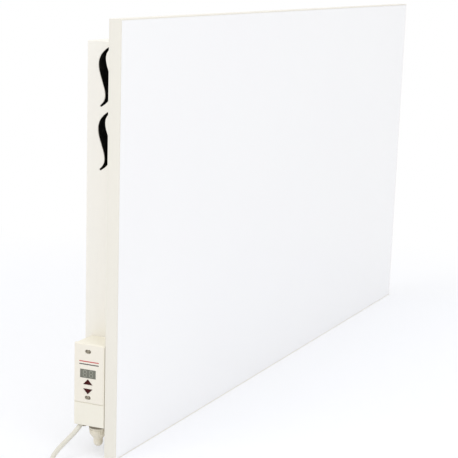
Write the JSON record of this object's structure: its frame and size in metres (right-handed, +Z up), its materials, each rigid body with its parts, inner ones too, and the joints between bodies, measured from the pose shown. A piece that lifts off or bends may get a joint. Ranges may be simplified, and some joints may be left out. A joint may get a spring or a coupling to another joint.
{
  "type": "ceramic panel heater",
  "caption": "Wall-hung electric panel heater with a flat glazed ceramic tile front, a vented steel casing behind it, a control box with display and keys at its side, and a mains cord.",
  "frame": {"origin": "midway between the two hanging keyholes, on the outer face of the casing's back wall", "axes": "+X to the right seen from the front, +Y towards the wall, +Z up; the tile's face looks to -Y"},
  "size_m": [1.2032, 0.0876, 0.45],
  "materials": {
    "glazed_tile": "glossy glaze",
    "cream_coat": "satin powder coat",
    "fibre_tape": "matt",
    "fibre_mat": "matt",
    "heating_cable": "satin",
    "bare_aluminium": "mill",
    "zinc_steel": "zinc plated",
    "dark_steel": "blackened",
    "terminal_ceramic": "matt",
    "cream_plastic": "satin",
    "face_film": "satin film",
    "display_glass": "gloss",
    "maroon_keys": "satin",
    "black_plastic": "satin",
    "board_green": "solder mask",
    "capacitor_red": "gloss",
    "beige_nylon": "satin",
    "cord_sheath": "satin",
    "tie_black": "satin",
    "plug_plastic": "satin",
    "pin_metal": "nickel plated"
  },
  "bodies": {
    "heater": {"base_screws": "zinc_steel", "casing_screws": "zinc_steel", "ceramic_panel": "glazed_tile", "coil_tie": "tie_black", "control_base": "cream_plastic", "control_board": "board_green", "control_cover": "cream_plastic", "cord_bushing": "black_plastic", "cord_coil": "cord_sheath", "cord_lead": "cord_sheath", "cord_tail": "cord_sheath", "cover_screws": "dark_steel", "display_lens": "display_glass", "display_module": "black_plastic", "edge_gasket": "fibre_tape", "element_leads": "heating_cable", "face_overlay": "face_film", "film_capacitor": "capacitor_red", "frame_rail_bottom": "cream_coat", "frame_rail_left": "cream_coat", "frame_rail_right": "cream_coat", "frame_rail_top": "cream_coat", "gland_body": "beige_nylon", "gland_locknut": "beige_nylon", "gland_nut": "beige_nylon", "gland_plug": "beige_nylon", "gland_washer": "black_plastic", "heat_spreader": "bare_aluminium", "heating_element": "heating_cable", "insulation_mat": "fibre_mat", "lead_grommet": "black_plastic", "link_cable": "cord_sheath", "mat_straps": "zinc_steel", "plug_body": "plug_plastic", "plug_clips": "zinc_steel", "plug_pins": "pin_metal", "rear_casing": "cream_coat", "relay": "black_plastic", "sensor_probe": "zinc_steel", "supply_terminals": "cream_plastic", "tact_switches": "black_plastic", "terminal_block": "terminal_ceramic", "terminal_cover": "cream_plastic", "thermal_cutout": "terminal_ceramic", "well_seals": "black_plastic"},
    "up_key": {"up_button": "maroon_keys"},
    "down_key": {"down_button": "maroon_keys"}
  },
  "joints": [
    {"name": "up_press", "type": "slide", "parent": "heater", "child": "up_key", "axis": [1, 0, 0], "range_m": [0, 0.0004], "stiffness_N_per_m": 300},
    {"name": "down_press", "type": "slide", "parent": "heater", "child": "down_key", "axis": [1, 0, 0], "range_m": [0, 0.0004], "stiffness_N_per_m": 300}
  ]
}
